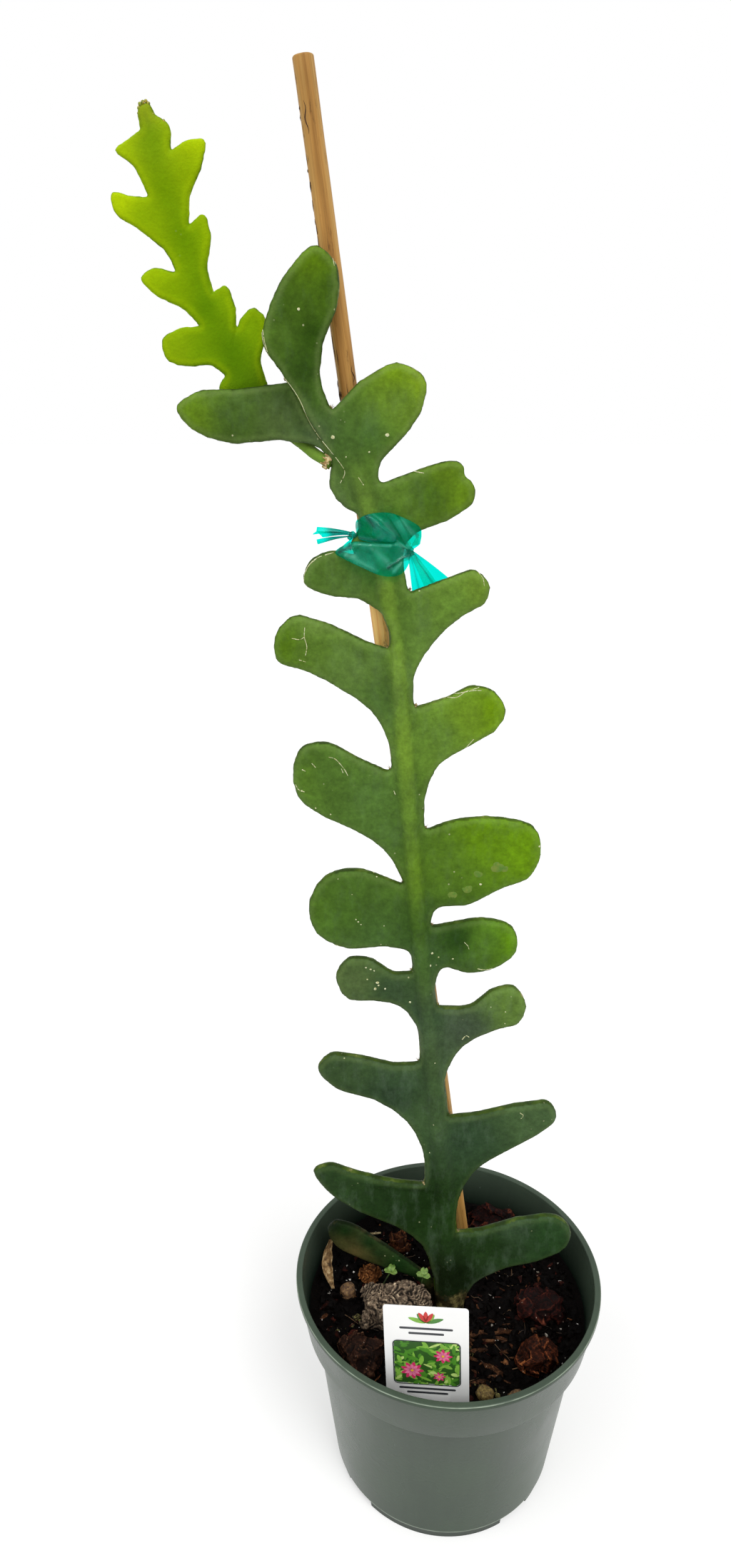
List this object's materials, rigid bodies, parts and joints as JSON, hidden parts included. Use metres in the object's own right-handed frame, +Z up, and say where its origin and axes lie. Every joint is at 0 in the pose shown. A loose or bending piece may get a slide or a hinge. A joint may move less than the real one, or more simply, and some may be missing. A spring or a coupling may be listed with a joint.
{
  "type": "potted fishbone cactus",
  "caption": "Flat zigzag cactus stem with rounded side lobes and a young shoot, tied to a bamboo stake and rooted in a round tapered nursery pot with a plant label.",
  "frame": {"origin": "on the pot's axis in the plane that its foot ring stands on, under the middle of its hub", "axes": "+Z up along the pot's axis, -Y the side that the plant's flat face and the label show, +X to the right as seen from there"},
  "size_m": [0.211, 0.153, 0.6424],
  "materials": {
    "pot_plastic": "moulded plastic, satin, grey-green",
    "growing_mix": "damp, loose and nearly black",
    "stem_skin": "smooth waxy plant skin, deep green",
    "young_skin": "smooth waxy plant skin, yellow-green",
    "old_skin": "smooth waxy plant skin, dark green",
    "bamboo": "smooth bamboo rind, tan with dark streaks",
    "tie_tape": "thin glossy tape, teal",
    "label_plastic": "printed white sheet plastic",
    "bark_grey": "corky, grey and weathered",
    "bark_red": "rough red-brown bark",
    "bark_tan": "rough tan bark",
    "pebble": "small rough stone, yellow-brown",
    "weed_leaf": "thin fresh leaf, light green",
    "straw": "dry stalk, pale",
    "dry_leaf": "dead curled leaf, light brown"
  },
  "bodies": {
    "root": {"bamboo_stake": "bamboo", "bark_back_left": "bark_tan", "bark_back_right": "bark_red", "bark_front_left": "bark_red", "bark_front_right": "bark_red", "bark_grey": "bark_grey", "bark_nugget": "bark_tan", "bark_right": "bark_red", "basal_shoot": "old_skin", "cactus_stem": "stem_skin", "dried_leaf": "dry_leaf", "growing_mix": "growing_mix", "new_shoot": "young_skin", "pebble_at_stem": "pebble", "pebble_front_left": "pebble", "pebble_front_right": "pebble", "pebble_left": "pebble", "plant_label": "label_plastic", "plant_tie": "tie_tape", "pot": "pot_plastic", "straw_stalk": "straw", "weed_sprout_left": "weed_leaf", "weed_sprout_right": "weed_leaf"}
  },
  "joints": []
}
